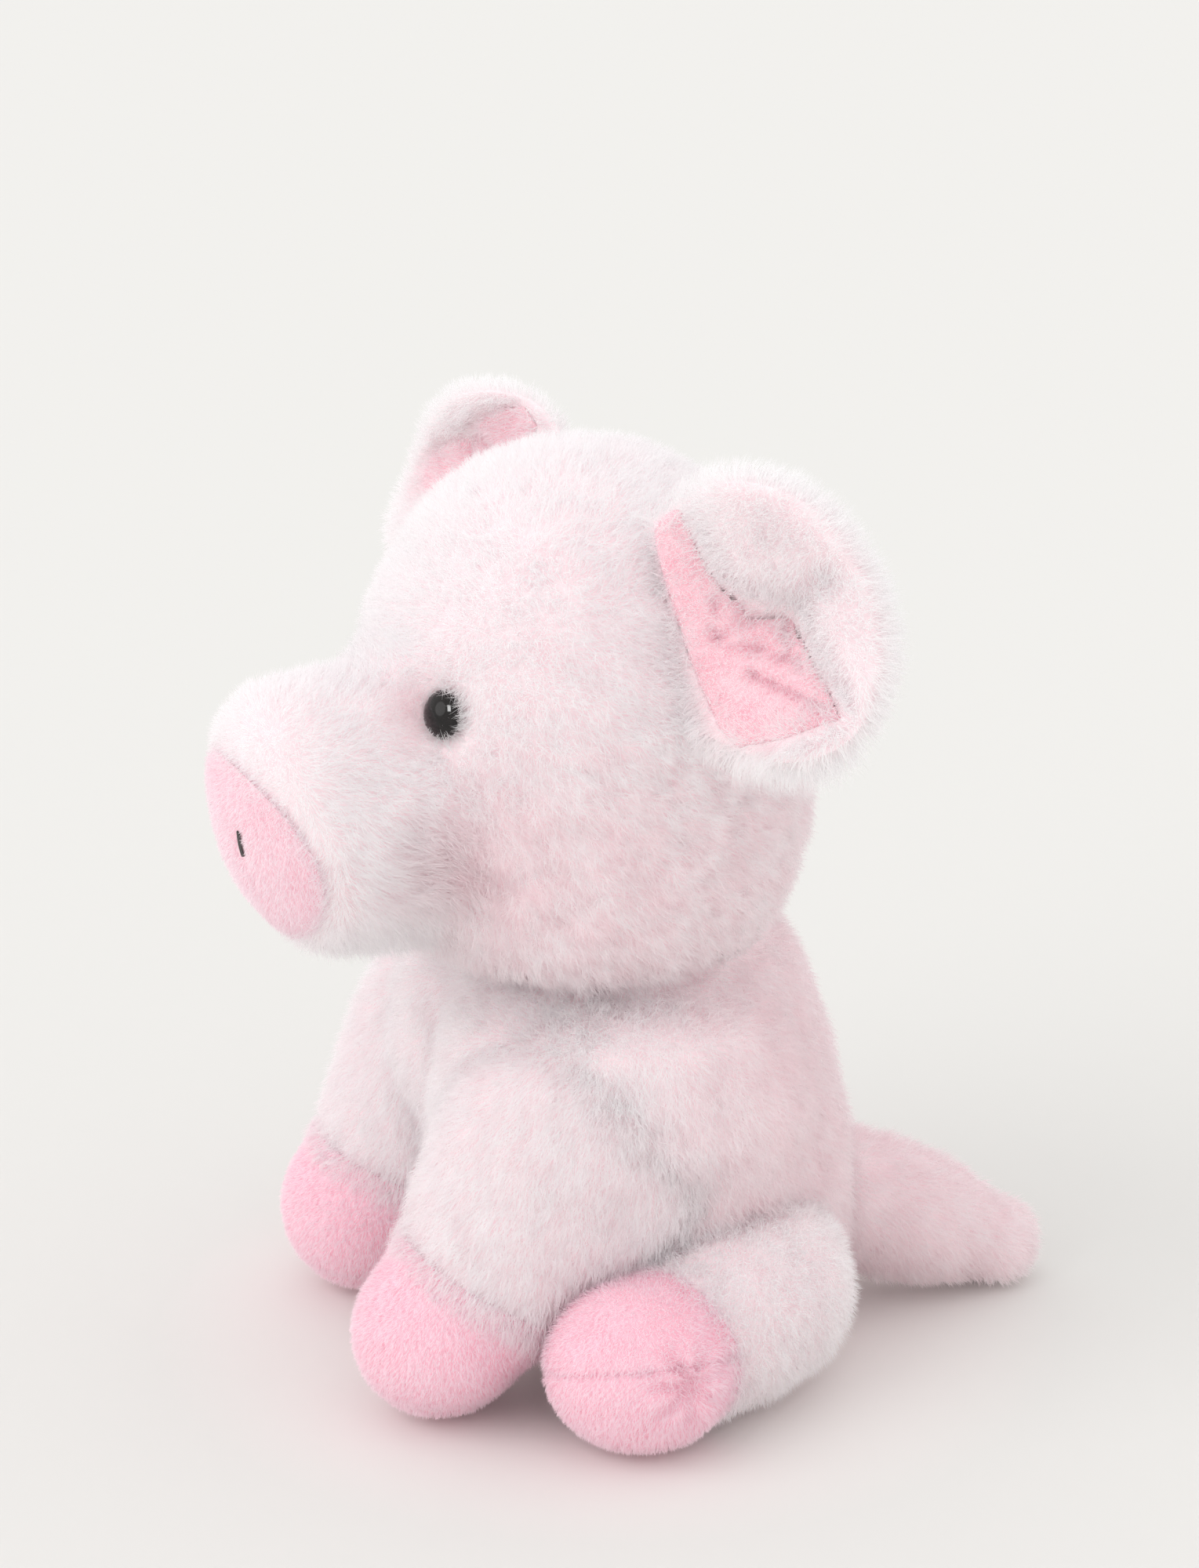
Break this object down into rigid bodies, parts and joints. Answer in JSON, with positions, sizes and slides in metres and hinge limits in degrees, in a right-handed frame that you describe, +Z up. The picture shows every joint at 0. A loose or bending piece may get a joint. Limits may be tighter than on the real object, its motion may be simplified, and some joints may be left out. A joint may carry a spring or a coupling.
{
  "type": "plush pig toy",
  "caption": "Sitting plush pig with a stuffed body, a head that turns, sewn-on limbs and tail, floppy lined ears, glossy eyes and a round snout.",
  "frame": {"origin": "centre of the torso's flat seat, on the surface that the toy sits on", "axes": "+Z up, the body faces -Y with its left side at +X and its tail towards +Y"},
  "size_m": [0.1784, 0.1996, 0.2199],
  "materials": {
    "long_fur": "long soft pile",
    "short_pink_pile": "short soft pile",
    "fibre_stuffing": "loose fibre",
    "pouch_cloth": "plain weave",
    "black_thread": "embroidered",
    "glossy_black_plastic": "polished",
    "white_plastic": "moulded"
  },
  "bodies": {
    "torso": {"body_fur": "long_fur", "body_stuffing": "fibre_stuffing", "pellet_pouch": "pouch_cloth"},
    "head": {"head_fur": "long_fur", "head_stuffing": "fibre_stuffing", "nose_pad": "short_pink_pile", "nostril_left": "black_thread", "nostril_right": "black_thread", "eye_left": "glossy_black_plastic", "eye_right": "glossy_black_plastic", "eye_washer_left": "white_plastic", "eye_washer_right": "white_plastic"},
    "ear_left": {"ear_left_fur": "long_fur", "ear_left_lining": "short_pink_pile"},
    "ear_right": {"ear_right_fur": "long_fur", "ear_right_lining": "short_pink_pile"},
    "arm_left": {"arm_left_fur": "long_fur", "arm_left_hoof": "short_pink_pile", "arm_left_sole": "short_pink_pile", "arm_left_stuffing": "fibre_stuffing"},
    "arm_right": {"arm_right_fur": "long_fur", "arm_right_hoof": "short_pink_pile", "arm_right_sole": "short_pink_pile", "arm_right_stuffing": "fibre_stuffing"},
    "leg_left": {"leg_left_fur": "long_fur", "leg_left_foot": "short_pink_pile", "leg_left_sole": "short_pink_pile", "leg_left_stuffing": "fibre_stuffing"},
    "leg_right": {"leg_right_fur": "long_fur", "leg_right_foot": "short_pink_pile", "leg_right_sole": "short_pink_pile", "leg_right_stuffing": "fibre_stuffing"},
    "tail": {"tail_fur": "long_fur", "tail_stuffing": "fibre_stuffing"}
  },
  "joints": [
    {"name": "neck_turn", "type": "hinge", "parent": "torso", "child": "head", "pos_m": [0, -0.014, 0.0987], "axis": [0, 0, 1], "range_deg": [-30, 20], "stiffness_Nm_per_rad": 0.2},
    {"name": "ear_left_flap", "type": "hinge", "parent": "head", "child": "ear_left", "pos_m": [0.04192, -0.00489, 0.1858], "axis": [-0.5327, -0.1132, 0.8387], "range_deg": [-18, 18], "stiffness_Nm_per_rad": 0.1},
    {"name": "ear_right_flap", "type": "hinge", "parent": "head", "child": "ear_right", "pos_m": [-0.03987, -0.01736, 0.1898], "axis": [0.5327, 0.1132, 0.8387], "range_deg": [-18, 18], "stiffness_Nm_per_rad": 0.1},
    {"name": "arm_left_raise", "type": "hinge", "parent": "torso", "child": "arm_left", "pos_m": [0.033, -0.029, 0.063], "axis": [-1, 0, 0], "range_deg": [0, 45], "stiffness_Nm_per_rad": 0.05},
    {"name": "arm_right_raise", "type": "hinge", "parent": "torso", "child": "arm_right", "pos_m": [-0.033, -0.029, 0.063], "axis": [-1, 0, 0], "range_deg": [0, 45], "stiffness_Nm_per_rad": 0.05},
    {"name": "leg_left_spread", "type": "hinge", "parent": "torso", "child": "leg_left", "pos_m": [0.0355, 0.012, 0.024], "axis": [0, 0, 1], "range_deg": [0, 18], "stiffness_Nm_per_rad": 0.05},
    {"name": "leg_right_spread", "type": "hinge", "parent": "torso", "child": "leg_right", "pos_m": [-0.0355, 0.012, 0.024], "axis": [0, 0, -1], "range_deg": [0, 18], "stiffness_Nm_per_rad": 0.05},
    {"name": "tail_swing", "type": "hinge", "parent": "torso", "child": "tail", "pos_m": [0, 0.046, 0.0265], "axis": [0, 0, 1], "range_deg": [-25, 25], "stiffness_Nm_per_rad": 0.05}
  ]
}
